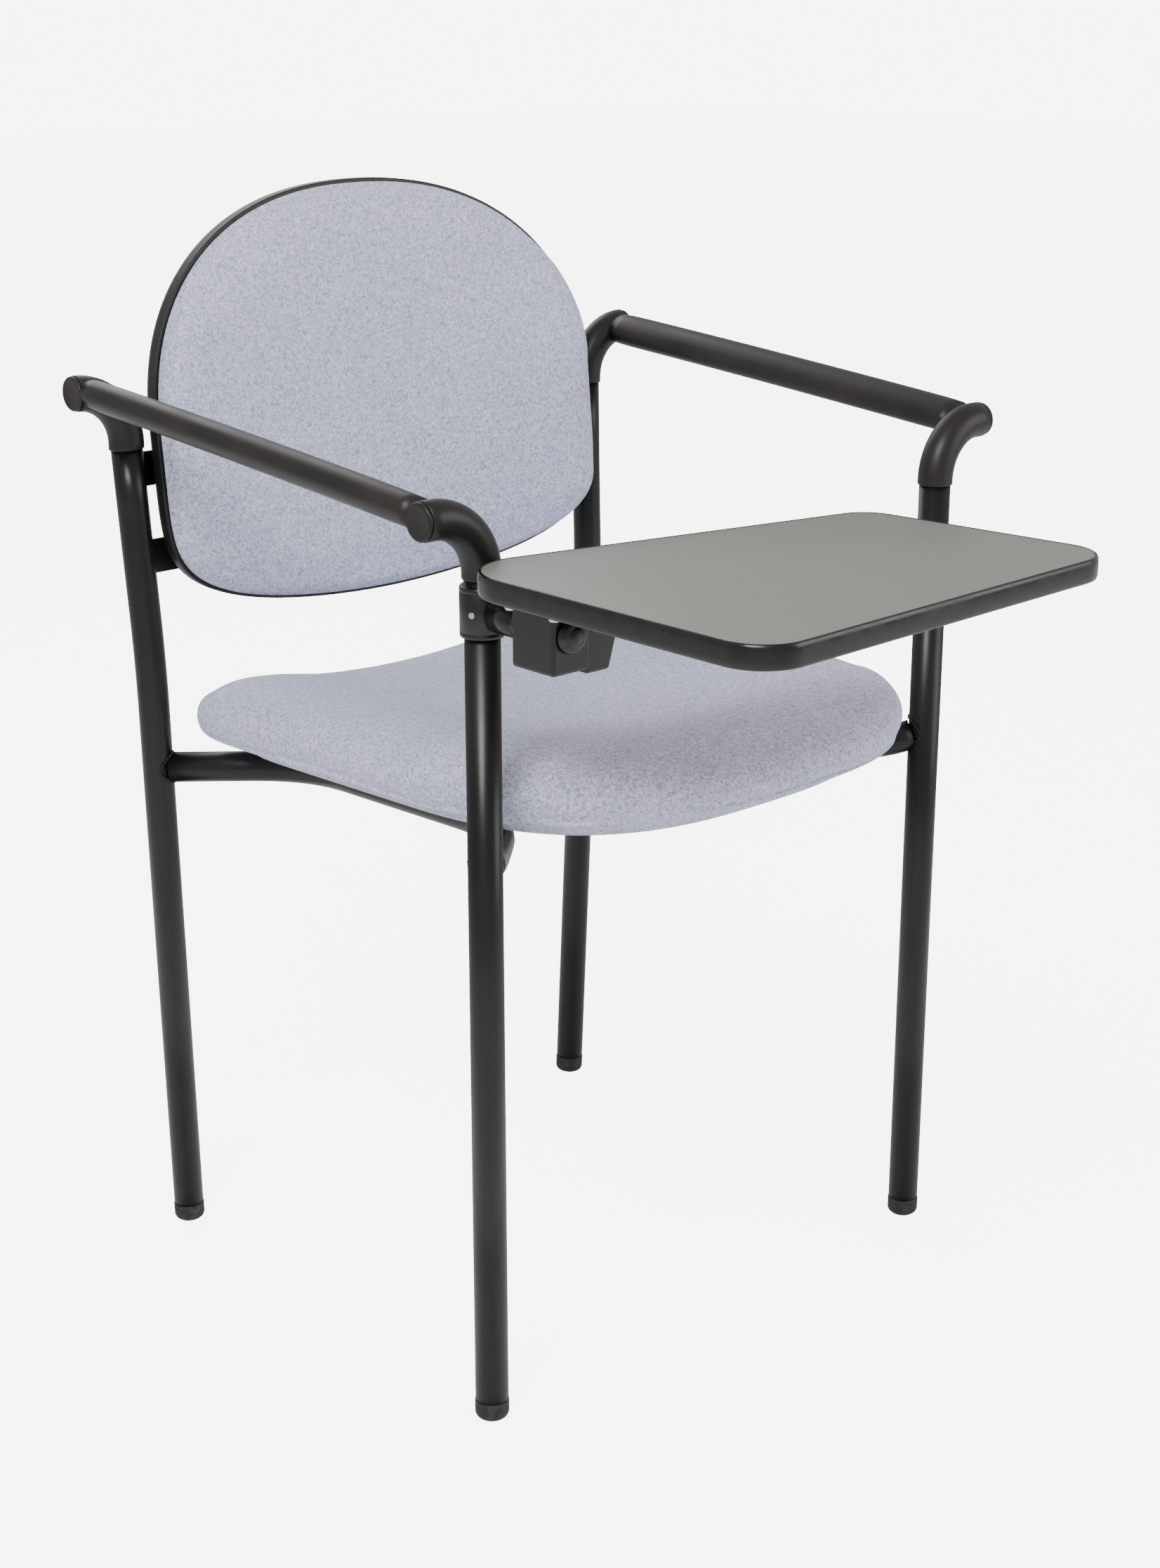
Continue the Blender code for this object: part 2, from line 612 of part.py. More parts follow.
def main():
    clear()
    mat("frame_black", (0.020, 0.020, 0.023), 0.42)
    mat("glide_plastic", (0.012, 0.012, 0.012), 0.55)
    mat("arm_plastic", (0.030, 0.027, 0.024), 0.48)
    mat("arm_steel", (0.30, 0.30, 0.31), 0.35, 1.0)
    mat("zinc", (0.55, 0.56, 0.58), 0.30, 1.0)
    mat("plywood", (0.62, 0.47, 0.28), 0.65)
    mat("fabric", (0.46, 0.48, 0.62), 0.95)
    mat("shell_plastic", (0.014, 0.014, 0.016), 0.40)
    mat("bracket_plastic", (0.016, 0.016, 0.020), 0.32)
    mat("board_core", (0.45, 0.34, 0.22), 0.75)
    mat("laminate", (0.36, 0.34, 0.31), 0.45)
    mat("edge_plastic", (0.012, 0.012, 0.014), 0.38)
    for side, word in ((-1, "right"), (1, "left")):
        legs(side, word)
        arm(side, word)
        rail(side, word)
    cross_tube("cross_tube_front", 0.115)
    cross_tube("cross_tube_back", 0.295)
    seat()
    back()
    pivot = bracket()
    tablet(pivot)


main()
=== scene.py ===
# %% [markdown]
# # Student desk chair with a flip-over writing tablet
# A tube frame carries a padded seat, a padded back in a black shell, two moulded arms and a
# laminate writing tablet. The frame file gives each piece's place in metres, so this lesson
# only makes surfaces: smooth tubes, soft upholstery, worn powder coat and woven cloth.

# %% Load the frame
import bpy
import bmesh
import math
from mathutils import Matrix, Vector


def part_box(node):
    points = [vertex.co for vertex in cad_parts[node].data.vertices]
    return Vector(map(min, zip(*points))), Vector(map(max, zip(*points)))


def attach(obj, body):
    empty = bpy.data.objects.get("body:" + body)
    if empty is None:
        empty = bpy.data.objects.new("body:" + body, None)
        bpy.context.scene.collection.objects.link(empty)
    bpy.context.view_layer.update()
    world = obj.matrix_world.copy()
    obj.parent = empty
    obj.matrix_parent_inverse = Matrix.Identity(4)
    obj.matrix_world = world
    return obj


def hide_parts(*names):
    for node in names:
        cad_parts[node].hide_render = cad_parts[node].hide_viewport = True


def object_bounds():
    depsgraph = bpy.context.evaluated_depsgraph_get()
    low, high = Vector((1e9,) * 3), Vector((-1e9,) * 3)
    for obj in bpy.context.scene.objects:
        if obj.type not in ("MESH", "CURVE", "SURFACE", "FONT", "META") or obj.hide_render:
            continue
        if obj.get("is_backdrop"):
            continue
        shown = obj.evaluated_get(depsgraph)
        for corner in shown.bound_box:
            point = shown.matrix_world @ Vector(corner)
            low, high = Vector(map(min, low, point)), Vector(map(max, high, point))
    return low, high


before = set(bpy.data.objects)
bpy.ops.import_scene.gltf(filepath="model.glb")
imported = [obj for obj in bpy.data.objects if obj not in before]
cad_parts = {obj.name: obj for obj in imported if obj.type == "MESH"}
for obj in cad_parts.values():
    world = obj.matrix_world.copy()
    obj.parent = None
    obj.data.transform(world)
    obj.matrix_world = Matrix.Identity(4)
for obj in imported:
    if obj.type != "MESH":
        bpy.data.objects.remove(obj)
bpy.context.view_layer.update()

# %% [markdown]
# The frame's own numbers. Everything is measured from the line of the front legs, so one
# helper turns such a point into a place in the scene.

# %% Where things are
leg_lo, leg_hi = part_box("leg_front_right")
FRONT_Y = (leg_lo.y + leg_hi.y) / 2
FRONT_X = abs(leg_lo.x + leg_hi.x) / 2
TUBE_R = 0.0127
SIDES = 40


def at(x, y, z):
    return Vector((x, y + FRONT_Y, z))


def back_leg(side, z):
    """Centre line of a back leg: straight, a bend at 512 mm, then leaning back."""
    stops = ((0.0, 0.4225), (0.512, 0.4120), (0.610, 0.4176), (0.686, 0.4214))
    for (z0, y0), (z1, y1) in zip(stops, stops[1:]):
        if z <= z1 or z1 == 0.686:
            y = y0 + (y1 - y0) * (z - z0) / (z1 - z0)
            break
    return at(side * (0.2277 + 0.0301 * z), y, z)


print("front legs at y", round(FRONT_Y, 4), "x", round(FRONT_X, 4))

# %% [markdown]
# ## Camera, light and floor
# A long lens well back from the chair keeps the legs nearly parallel. Three large soft area
# lights and a dim world light the chair evenly. The camera itself sees the world and floor much
# brighter than they light the chair, which gives a white ground without washing out the black.

# %% Studio
cam_data = bpy.data.cameras.new("camera")
cam_data.lens = 56.8
cam_data.sensor_width = 36.0
cam = bpy.data.objects.new("camera", cam_data)
cam.location = at(-1.3093, -1.2487, 1.0437)
cam.rotation_euler = (math.radians(90) - 0.3164, 0, -0.7485)
bpy.context.scene.collection.objects.link(cam)
bpy.context.scene.camera = cam


def area_light(name, place, aim, size, power, colour=(1, 1, 1)):
    data = bpy.data.lights.new(name, "AREA")
    data.shape = "SQUARE"
    data.size = size
    data.energy = power
    data.color = colour
    ob = bpy.data.objects.new(name, data)
    ob.location = place
    ob.rotation_euler = (Vector(aim) - Vector(place)).to_track_quat("-Z", "Y").to_euler()
    bpy.context.scene.collection.objects.link(ob)
    return ob


area_light("key", (-1.6, -0.9, 2.3), (0, 0, 0.5), 0.9, 52)
area_light("fill", (1.8, -2.2, 1.5), (0, 0, 0.5), 1.8, 30)
area_light("rim", (0.6, 2.2, 1.9), (0, 0, 0.6), 1.6, 18)
LIGHT_LEVEL, SEEN_LEVEL, SEEN_FLOOR = 0.62, 7.0, 6.0
world = bpy.data.worlds.new("studio")
world.use_nodes = True
world.node_tree.nodes["Background"].inputs["Color"].default_value = (1, 1, 1, 1)
wt = world.node_tree
seen = wt.nodes.new("ShaderNodeLightPath")
level = wt.nodes.new("ShaderNodeMapRange")
level.inputs["To Min"].default_value = LIGHT_LEVEL
level.inputs["To Max"].default_value = SEEN_LEVEL
wt.links.new(seen.outputs["Is Camera Ray"], level.inputs["Value"])
wt.links.new(level.outputs["Result"], wt.nodes["Background"].inputs["Strength"])
bpy.context.scene.world = world

# %% [markdown]
# ## Materials
# Every finish is a small node tree. Two helpers keep them short: one starts a material, the
# other adds a noise that reads Object coordinates, so a pattern stays fixed to its piece.

# %% Material helpers
FINISH = {}


def start(name, colour, rough, metal=0.0, spec=0.5):
    m = bpy.data.materials.new(name)
    m.use_nodes = True
    b = m.node_tree.nodes["Principled BSDF"]
    b.inputs["Base Color"].default_value = (*colour, 1)
    b.inputs["Roughness"].default_value = rough
    b.inputs["Metallic"].default_value = metal
    b.inputs["Specular IOR Level"].default_value = spec
    FINISH[name] = m
    return m, m.node_tree, b


def node(tree, kind, **sockets):
    n = tree.nodes.new(kind)
    for key, value in sockets.items():
        n.inputs[key.replace("_", " ")].default_value = value
    return n


def noise(tree, scale, detail=3.0, rough=0.55):
    where = tree.nodes.get("where") or tree.nodes.new("ShaderNodeTexCoord")
    where.name = "where"
    n = node(tree, "ShaderNodeTexNoise", Scale=scale, Detail=detail, Roughness=rough)
    tree.links.new(where.outputs["Object"], n.inputs["Vector"])
    return n


def ramp(tree, source, stops):
    r = tree.nodes.new("ShaderNodeValToRGB")
    r.color_ramp.elements[0].position, r.color_ramp.elements[0].color = stops[0][0], (*stops[0][1], 1)
    r.color_ramp.elements[1].position, r.color_ramp.elements[1].color = stops[-1][0], (*stops[-1][1], 1)
    for place, colour in stops[1:-1]:
        e = r.color_ramp.elements.new(place)
        e.color = (*colour, 1)
    tree.links.new(source, r.inputs["Fac"])
    return r.outputs["Color"]


def bump(tree, shader, height, strength, distance):
    b = node(tree, "ShaderNodeBump", Strength=strength, Distance=distance)
    tree.links.new(height, b.inputs["Height"])
    if shader.inputs["Normal"].links:
        tree.links.new(shader.inputs["Normal"].links[0].from_socket, b.inputs["Normal"])
    tree.links.new(b.outputs["Normal"], shader.inputs["Normal"])


def grey(v):
    return (v, v, v)


# %% [markdown]
# Powder coat is sprayed dry and baked, so it keeps a fine orange-peel and a satin shine. Its
# colour hardly changes, and the roughness wanders a little where hands and shoes rub it.

# %% Powder coat
m, t, b = start("powder_coat", (0.006, 0.006, 0.007), 0.30, 0.0, 0.38)
wander = noise(t, 9.0, 4.0)
t.links.new(ramp(t, wander.outputs["Fac"], [(0.35, (0.0035, 0.0032, 0.0040)),
                                            (0.70, (0.0085, 0.0078, 0.0085))]), b.inputs["Base Color"])
t.links.new(ramp(t, wander.outputs["Fac"], [(0.3, grey(0.27)), (0.75, grey(0.42))]), b.inputs["Roughness"])
bump(t, b, noise(t, 900.0, 2.0).outputs["Fac"], 0.22, 0.0002)
print("powder coat ready")

# %% [markdown]
# The arms are injection moulded in a soft grained black that weathers to a warm brown-grey on
# the upper side, where skin and sleeves polish it. A slow noise mixes the two tones.

# %% Moulded plastics
m, t, b = start("arm_mould", (0.015, 0.012, 0.010), 0.42, 0.0, 0.36)
tone = noise(t, 14.0, 3.0)
t.links.new(ramp(t, tone.outputs["Fac"], [(0.30, (0.0080, 0.0068, 0.0062)),
                                          (0.72, (0.0200, 0.0165, 0.0142))]), b.inputs["Base Color"])
t.links.new(ramp(t, tone.outputs["Fac"], [(0.3, grey(0.36)), (0.8, grey(0.50))]), b.inputs["Roughness"])
bump(t, b, noise(t, 1400.0, 2.0).outputs["Fac"], 0.20, 0.00015)

m, t, b = start("bracket_mould", (0.012, 0.012, 0.016), 0.28)
tone = noise(t, 30.0, 3.0)
t.links.new(ramp(t, tone.outputs["Fac"], [(0.3, (0.0040, 0.0040, 0.0052)), (0.8, (0.0100, 0.0100, 0.0125))]),
            b.inputs["Base Color"])
bump(t, b, noise(t, 500.0, 2.0).outputs["Fac"], 0.12, 0.0002)

m, t, b = start("shell_mould", (0.012, 0.012, 0.013), 0.45)
tone = noise(t, 7.0, 4.0)
t.links.new(ramp(t, tone.outputs["Fac"], [(0.3, (0.0060, 0.0056, 0.0052)), (0.8, (0.0130, 0.0120, 0.0110))]),
            b.inputs["Base Color"])
grain = t.nodes.new("ShaderNodeTexVoronoi")
grain.inputs["Scale"].default_value = 700.0
t.links.new(t.nodes["where"].outputs["Object"], grain.inputs["Vector"])
bump(t, b, grain.outputs["Distance"], 0.35, 0.0003)

m, t, b = start("glide_mould", (0.008, 0.008, 0.008), 0.55)
scuff = noise(t, 160.0, 5.0)
t.links.new(ramp(t, scuff.outputs["Fac"], [(0.45, grey(0.007)), (0.75, grey(0.035))]), b.inputs["Base Color"])
bump(t, b, scuff.outputs["Fac"], 0.25, 0.0003)

m, t, b = start("edge_mould", (0.010, 0.010, 0.012), 0.25)
scuff = noise(t, 60.0, 4.0)
t.links.new(ramp(t, scuff.outputs["Fac"], [(0.4, grey(0.20)), (0.75, grey(0.40))]), b.inputs["Roughness"])
t.links.new(ramp(t, scuff.outputs["Fac"], [(0.4, (0.0030, 0.0030, 0.0036)), (0.8, (0.0080, 0.0080, 0.0088))]),
            b.inputs["Base Color"])
bump(t, b, noise(t, 400.0, 2.0).outputs["Fac"], 0.08, 0.0002)

# %% [markdown]
# Fasteners are zinc plated: pale, slightly blotchy metal. The bar inside each arm is plain
# drawn steel. The seat board is plywood, whose edge and face show long grain, and the
# tablet's core is pressed chips.

# %% Metal and wood
m, t, b = start("zinc_plate", (0.60, 0.61, 0.63), 0.28, 1.0)
blot = noise(t, 220.0, 4.0)
t.links.new(ramp(t, blot.outputs["Fac"], [(0.3, (0.48, 0.49, 0.50)), (0.7, (0.70, 0.71, 0.74))]),
            b.inputs["Base Color"])
t.links.new(ramp(t, blot.outputs["Fac"], [(0.3, grey(0.22)), (0.7, grey(0.42))]), b.inputs["Roughness"])

m, t, b = start("drawn_steel", (0.32, 0.32, 0.33), 0.35, 1.0)
bump(t, b, noise(t, 300.0, 2.0).outputs["Fac"], 0.1, 0.0002)

m, t, b = start("plywood", (0.62, 0.47, 0.28), 0.62)
grain = noise(t, 18.0, 6.0, 0.65)
where = t.nodes["where"]
turn = t.nodes.new("ShaderNodeMapping")
turn.inputs["Scale"].default_value = (9.0, 0.8, 9.0)
t.links.new(where.outputs["Object"], turn.inputs["Vector"])
t.links.new(turn.outputs["Vector"], grain.inputs["Vector"])
t.links.new(ramp(t, grain.outputs["Fac"], [(0.32, (0.42, 0.27, 0.13)), (0.5, (0.64, 0.48, 0.29)),
                                           (0.72, (0.76, 0.62, 0.42))]), b.inputs["Base Color"])
bump(t, b, grain.outputs["Fac"], 0.2, 0.0004)

m, t, b = start("chip_core", (0.45, 0.34, 0.22), 0.8)
chips = t.nodes.new("ShaderNodeTexVoronoi")
chips.inputs["Scale"].default_value = 420.0
where = t.nodes.new("ShaderNodeTexCoord")
t.links.new(where.outputs["Object"], chips.inputs["Vector"])
t.links.new(ramp(t, chips.outputs["Distance"], [(0.1, (0.30, 0.20, 0.11)), (0.6, (0.58, 0.45, 0.30))]),
            b.inputs["Base Color"])
bump(t, b, chips.outputs["Distance"], 0.4, 0.0005)

# %% [markdown]
# The writing surface is a grey-beige high-pressure laminate with a print of tiny specks and a
# fine crystal texture. Years of use leave soft rubbed patches, which show in the roughness.

# %% Laminate
m, t, b = start("grey_laminate", (0.36, 0.35, 0.32), 0.40)
speck = noise(t, 1100.0, 2.0)
cloudy = noise(t, 6.0, 3.0)
colour = ramp(t, speck.outputs["Fac"], [(0.30, (0.165, 0.157, 0.138)), (0.52, (0.205, 0.196, 0.174)),
                                        (0.74, (0.245, 0.235, 0.210))])
t.links.new(colour, b.inputs["Base Color"])
t.links.new(ramp(t, cloudy.outputs["Fac"], [(0.35, grey(0.34)), (0.7, grey(0.47))]), b.inputs["Roughness"])
bump(t, b, speck.outputs["Fac"], 0.10, 0.0001)

# %% [markdown]
# The cloth is a contract crepe: short worm-like loops of pale blue-lilac yarn, each about a millimetre and a
# half across. Between the loops the colour is painted darker as painted shade in the dips, using the same
# noise that gives the bump. A distorted noise gives the worms, a finer one gives the yarn, and sheen gives the
# soft edge that cloth shows.

# %% Crepe cloth
m, t, b = start("crepe_cloth", (0.47, 0.50, 0.66), 0.93, 0.0, 0.25)
worm = noise(t, 430.0, 2.0, 0.5)
worm.inputs["Distortion"].default_value = 1.3
yarn = noise(t, 1500.0, 2.0, 0.6)
fade = noise(t, 5.0, 3.0)
# Partly yarn tone, partly painted shade: the dark end of this ramp sits on the low points of the bump, so the
# dips between loops get painted shade.
loops = ramp(t, worm.outputs["Fac"], [(0.36, (0.330, 0.340, 0.510)), (0.50, (0.560, 0.580, 0.750)),
                                      (0.64, (0.760, 0.780, 0.900))])
patch = ramp(t, fade.outputs["Fac"], [(0.3, (0.92, 0.92, 0.94)), (0.7, (1.0, 1.0, 1.0))])
mix = t.nodes.new("ShaderNodeMix")
mix.data_type = "RGBA"
mix.blend_type = "MULTIPLY"
mix.inputs["Factor"].default_value = 1.0
t.links.new(loops, mix.inputs[6])
t.links.new(patch, mix.inputs[7])
t.links.new(mix.outputs[2], b.inputs["Base Color"])
b.inputs["Sheen Weight"].default_value = 0.25
b.inputs["Sheen Roughness"].default_value = 0.5
bump(t, b, worm.outputs["Fac"], 0.55, 0.0012)
bump(t, b, yarn.outputs["Fac"], 0.25, 0.0004)
print(len(FINISH), "finishes")

# %% [markdown]
# ## Floor
# One pale plane, marked as stage so that it does not count as part of the chair.

# %% Floor
m, t, b = start("pale_floor", (0.95, 0.95, 0.95), 0.9, 0.0, 0.0)
b.inputs["Emission Color"].default_value = (1, 1, 1, 1)
seen = t.nodes.new("ShaderNodeLightPath")
level = t.nodes.new("ShaderNodeMath")
level.operation = "MULTIPLY"
level.inputs[1].default_value = SEEN_FLOOR
t.links.new(seen.outputs["Is Camera Ray"], level.inputs[0])
t.links.new(level.outputs[0], b.inputs["Emission Strength"])
me = bpy.data.meshes.new("floor")
bm = bmesh.new()
bmesh.ops.create_grid(bm, x_segments=1, y_segments=1, size=14)
bm.to_mesh(me)
bm.free()
floor = bpy.data.objects.new("floor", me)
me.materials.append(m)
bpy.context.scene.collection.objects.link(floor)
floor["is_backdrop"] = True

# %% [markdown]
# ## Helpers for pieces
# `piece` turns a bmesh into an object at the origin with its place in its mesh, gives it a
# finish, lets it ride on its body and hides the plain solid that it stands for.

# %% Piece helpers
made = []


def piece(name, bm, finish, body, stands_for=(), smooth=True):
    bmesh.ops.recalc_face_normals(bm, faces=bm.faces)
    if bm.calc_volume(signed=True) < 0:
        bmesh.ops.reverse_faces(bm, faces=bm.faces)
    me = bpy.data.meshes.new(name)
    bm.to_mesh(me)
    bm.free()
    for p in me.polygons:
        p.use_smooth = smooth
    return settle(name, me, finish, body, stands_for)


def settle(name, me, finish, body, stands_for=()):
    ob = bpy.data.objects.new(name, me)
    me.materials.clear()
    me.materials.append(FINISH[finish])
    bpy.context.scene.collection.objects.link(ob)
    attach(ob, body)
    if stands_for:
        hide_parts(*stands_for)
    made.append(name)
    return ob


def round_edges(ob, width, segments=3, angle=35):
    m = ob.modifiers.new("round", "BEVEL")
    m.width = width
    m.segments = segments
    m.limit_method = "ANGLE"
    m.angle_limit = math.radians(angle)
    m.harden_normals = True
    return ob


def sweep(path, radius, scales=None, caps=True, sides=SIDES):
    """A round bar along a line of points, made with a curve's bevel."""
    cu = bpy.data.curves.new("sweep", "CURVE")
    cu.dimensions = "3D"
    cu.bevel_depth = radius
    cu.bevel_resolution = sides // 2 - 2
    cu.use_fill_caps = caps
    sp = cu.splines.new("POLY")
    sp.points.add(len(path) - 1)
    for i, p in enumerate(path):
        sp.points[i].co = (*p, 1.0)
        sp.points[i].radius = 1.0 if scales is None else scales[i]
    ob = bpy.data.objects.new("sweep", cu)
    bpy.context.scene.collection.objects.link(ob)
    bpy.context.view_layer.update()
    me = bpy.data.meshes.new_from_object(ob.evaluated_get(bpy.context.evaluated_depsgraph_get()))
    bm = bmesh.new()
    bm.from_mesh(me)
    bmesh.ops.remove_doubles(bm, verts=bm.verts, dist=1e-6)
    bpy.data.objects.remove(ob)
    bpy.data.curves.remove(cu)
    return bm


def lathe(start_at, direction, profile, steps=SIDES):
    """Turn a profile of (distance, radius) pairs about a line."""
    bm = bmesh.new()
    m = Matrix.Translation(start_at) @ Vector(direction).to_track_quat("Z", "Y").to_matrix().to_4x4()
    vs = [bm.verts.new(m @ Vector((max(r, 0.0), 0, h))) for h, r in profile]
    es = [bm.edges.new((a, b)) for a, b in zip(vs, vs[1:])]
    axis = (m.to_3x3() @ Vector((0, 0, 1))).normalized()
    bmesh.ops.spin(bm, geom=vs + es, cent=m.translation, axis=axis, angle=math.tau, steps=steps,
                   use_merge=True)
    bmesh.ops.remove_doubles(bm, verts=bm.verts, dist=1e-6)
    return bm


def bend(points, pull, steps=10):
    """Round the corners of a line of points."""
    pts = [Vector(p) for p in points]
    out = [pts[0]]
    for a, b, c in zip(pts, pts[1:], pts[2:]):
        p = b + (a - b).normalized() * min(pull, (a - b).length * 0.45)
        q = b + (c - b).normalized() * min(pull, (c - b).length * 0.45)
        for i in range(steps + 1):
            s = i / steps
            out.append(p * (1 - s) ** 2 + b * 2 * s * (1 - s) + q * s * s)
    out.append(pts[-1])
    return out


def wall(bm, loops):
    """Faces between each loop of points and the next."""
    for a, b in zip(loops, loops[1:]):
        n = len(a)
        for j in range(n):
            bm.faces.new((a[j], a[(j + 1) % n], b[(j + 1) % n], b[j]))


def block(lo, hi):
    """A box between two opposite corners."""
    bm = bmesh.new()
    m = Matrix.Translation((lo + hi) / 2) @ Matrix.Diagonal((*(hi - lo), 1.0))
    bmesh.ops.create_cube(bm, size=1.0, matrix=m)
    return bm


# %% [markdown]
# ## Legs and glides
# The legs are one-inch round tube. The front pair is straight; the back pair bends above the
# seat. A curve with a bevel gives a true round tube along any line, so it is used for all
# four. Each foot is a turned plastic glide with a chamfer and a fine moulding groove.

# %% Legs
for side, word in ((-1, "right"), (1, "left")):
    line = [at(side * FRONT_X, 0, 0.0163), at(side * FRONT_X, 0, 0.6527)]
    piece("tube_front_" + word, sweep(line, TUBE_R), "powder_coat", "chair",
          ["leg_front_" + word])
    knots = [back_leg(side, 0.0167), back_leg(side, 0.512), back_leg(side, 0.610), back_leg(side, 0.6857)]
    piece("tube_back_" + word, sweep(bend(knots, 0.040), TUBE_R), "powder_coat", "chair",
          ["leg_back_" + word])
    for end, foot, up in (("front", at(side * FRONT_X, 0, 0), Vector((0, 0, 1))),
                          ("back", back_leg(side, 0), (back_leg(side, 0.4) - back_leg(side, 0)).normalized())):
        r = TUBE_R + 0.0004
        lift = 0.0 if end == "front" else 0.0004
        profile = [(lift, 0), (lift, r - 0.0042), (0.0010, r - 0.0026), (0.0024, r - 0.0010), (0.0048, r),
                   (0.0118, r), (0.0121, r - 0.0004), (0.0126, r - 0.0004), (0.0129, r), (0.0150, r),
                   (0.0158, r - 0.0008), (0.0158, 0)]
        piece("foot_%s_%s" % (end, word), lathe(foot, up, profile), "glide_mould",
              "chair", ["glide_%s_%s" % (end, word)])
print("legs and glides", len(made))

# %% [markdown]
# ## Seat frame
# Two bowed tubes run under the seat from front leg to back leg, with two cross tubes between
# them. They follow the underside of the seat board, which tilts back by two degrees.

# %% Rails
SEAT_BACK, SEAT_FRONT, SEAT_HALF = 0.407, -0.083, 0.229


def seat_under(y):
    return 0.4460 + 0.0320 * (SEAT_BACK - y)


def board_under(y):
    return seat_under(y) - 0.0113


def under(x, y):
    return at(x, y, board_under(y) - 0.0133)


for side, word in ((-1, "right"), (1, "left")):
    a, z = back_leg(side, 0.4215), at(side * FRONT_X, 0, 0.446)
    knots = [a, under(side * 0.150, 0.325), under(side * 0.150, 0.085), under(side * 0.214, 0.025), z]
    line = bend(knots, 0.05)
    line[0] = a + (line[1] - a).normalized() * 0.0105
    line[-1] = z + (line[-2] - z).normalized() * 0.0105
    piece("rail_tube_" + word, sweep(line, 0.0125), "powder_coat", "chair",
          ["seat_rail_" + word])
for y, word in ((0.115, "front"), (0.295, "back")):
    z = board_under(y) - 0.0133
    line = [at(-0.1376, y, z), at(0.1376, y, z)]
    piece("stay_" + word, sweep(line, 0.0095), "powder_coat", "chair", ["cross_tube_" + word])

# %% [markdown]
# ## Arm elbows and pads
# Each elbow is a moulding that plugs into the leg, sweeps up and outward, and ends in a
# flat disc. A curve bevel with a changing radius gives the collar at the bottom. The pad
# between two elbows is an oval bar, rolled so that its broad side faces the sitter, which is
# easiest as rings of points moved by a rule.

# %% Elbows
ELBOW_R, TURN, END_X, GRIP_X = 0.0141, 0.0435, 0.2925, 0.281


def elbow(name, side, base, lift, lean):
    rise = lift - TURN
    path = [base + lean * 0.0001, base + lean * 0.0006, base + lean * 0.0012]
    path.append(base + Vector((0, 0, rise)))
    for i in range(1, 19):
        a = math.radians(90) * i / 18
        path.append(Vector((base.x + side * TURN * (1 - math.cos(a)), base.y,
                            base.z + rise + TURN * math.sin(a))))
    path += [Vector((side * (END_X - 0.0006), base.y, base.z + lift)),
             Vector((side * END_X, base.y, base.z + lift))]
    scales = [0.955, 0.99] + [1.0] * (len(path) - 4) + [1.0, 0.955]
    piece("arm_bend_" + name, sweep(path, ELBOW_R, scales), "arm_mould", "chair",
          ["elbow_" + name])
    r = ELBOW_R - 0.0006
    profile = [(0.0, 0), (0.0, r - 0.0006), (0.0005, r), (0.0020, r), (0.0027, r - 0.0006),
               (0.0030, r - 0.0018), (0.0027, r - 0.0030), (0.0026, 0)]
    start_at = Vector((side * (END_X + 0.0003), base.y, base.z + lift))
    piece("arm_disc_" + name, lathe(start_at, (side, 0, 0), profile), "arm_mould", "chair",
          ["arm_end_cap_" + name])
    return Vector((side * GRIP_X, base.y, base.z + lift))


def arm_pad(word, side, front, back):
    length = (back - front).length
    inset = 0.0130 / length
    bm = bmesh.new()
    rings, count, lengths = [], 36, 44
    for i in range(lengths + 1):
        s = inset + (1 - 2 * inset) * i / lengths
        c = front.lerp(back, s) + Vector((0, 0, 0.001 * (1 - (2 * s - 1) ** 2)))
        nip = 1.0 - 0.05 * math.exp(-min(i, lengths - i) / 1.2)
        ring = []
        for j in range(count):
            a = math.tau * j / count
            px = math.copysign(abs(math.cos(a)) ** 0.92, math.cos(a)) * 0.0162 * nip
            pz = math.copysign(abs(math.sin(a)) ** 0.92, math.sin(a)) * 0.0118 * nip
            roll = side * math.radians(24)
            ring.append(bm.verts.new(c + Vector((px * math.cos(roll) - pz * math.sin(roll), 0,
                                                 px * math.sin(roll) + pz * math.cos(roll)))))
        rings.append(ring)
    wall(bm, rings)
    bm.faces.new(rings[0])
    bm.faces.new(rings[-1])
    piece("arm_rest_" + word, bm, "arm_mould", "chair", ["arm_pad_" + word, "arm_bar_" + word])


for side, word in ((-1, "right"), (1, "left")):
    top = back_leg(side, 0.686)
    lean = (top - back_leg(side, 0.656)).normalized()
    front = elbow("front_" + word, side, at(side * FRONT_X, 0, 0.653), 0.0466, Vector((0, 0, 1)))
    back = elbow("back_" + word, side, top, 0.0486, lean)
    arm_pad(word, side, front, back)
print("arms done", len(made))

# %% [markdown]
# ## Tablet bracket
# A turned collar is clamped round the front leg. Its short boss points forward and holds the
# pivot pin; the moulded housing and its web turn about that pin with the tablet. Small
# moulded blocks read as real once their edges are rounded, so each gets a bevel.

# %% Bracket
PIVOT_Z, LEG_X = 0.6300, -FRONT_X
profile = [(0, 0.0130), (0, 0.0150), (0.0008, 0.0157), (0.0035, 0.0158), (0.0038, 0.0155), (0.0042, 0.0158),
           (0.0318, 0.0158), (0.0322, 0.0155), (0.0325, 0.0158), (0.0352, 0.0157), (0.0360, 0.0150),
           (0.0360, 0.0130), (0, 0.0130)]
bm = lathe(at(LEG_X, 0, 0.613), (0, 0, 1), profile, 56)
piece("leg_clamp", bm, "bracket_mould", "chair", ["tablet_collar"])
profile = [(0.0, 0), (0.0, 0.0118), (0.0240, 0.0118), (0.0245, 0.0112), (0.0252, 0.0112), (0.0257, 0.0118),
           (0.0300, 0.0118), (0.0307, 0.0110), (0.0307, 0)]
bm = lathe(at(LEG_X, -0.0160, PIVOT_Z), (0, -1, 0), profile, 48)
piece("fixed_boss", bm, "bracket_mould", "chair", ["tablet_boss"])
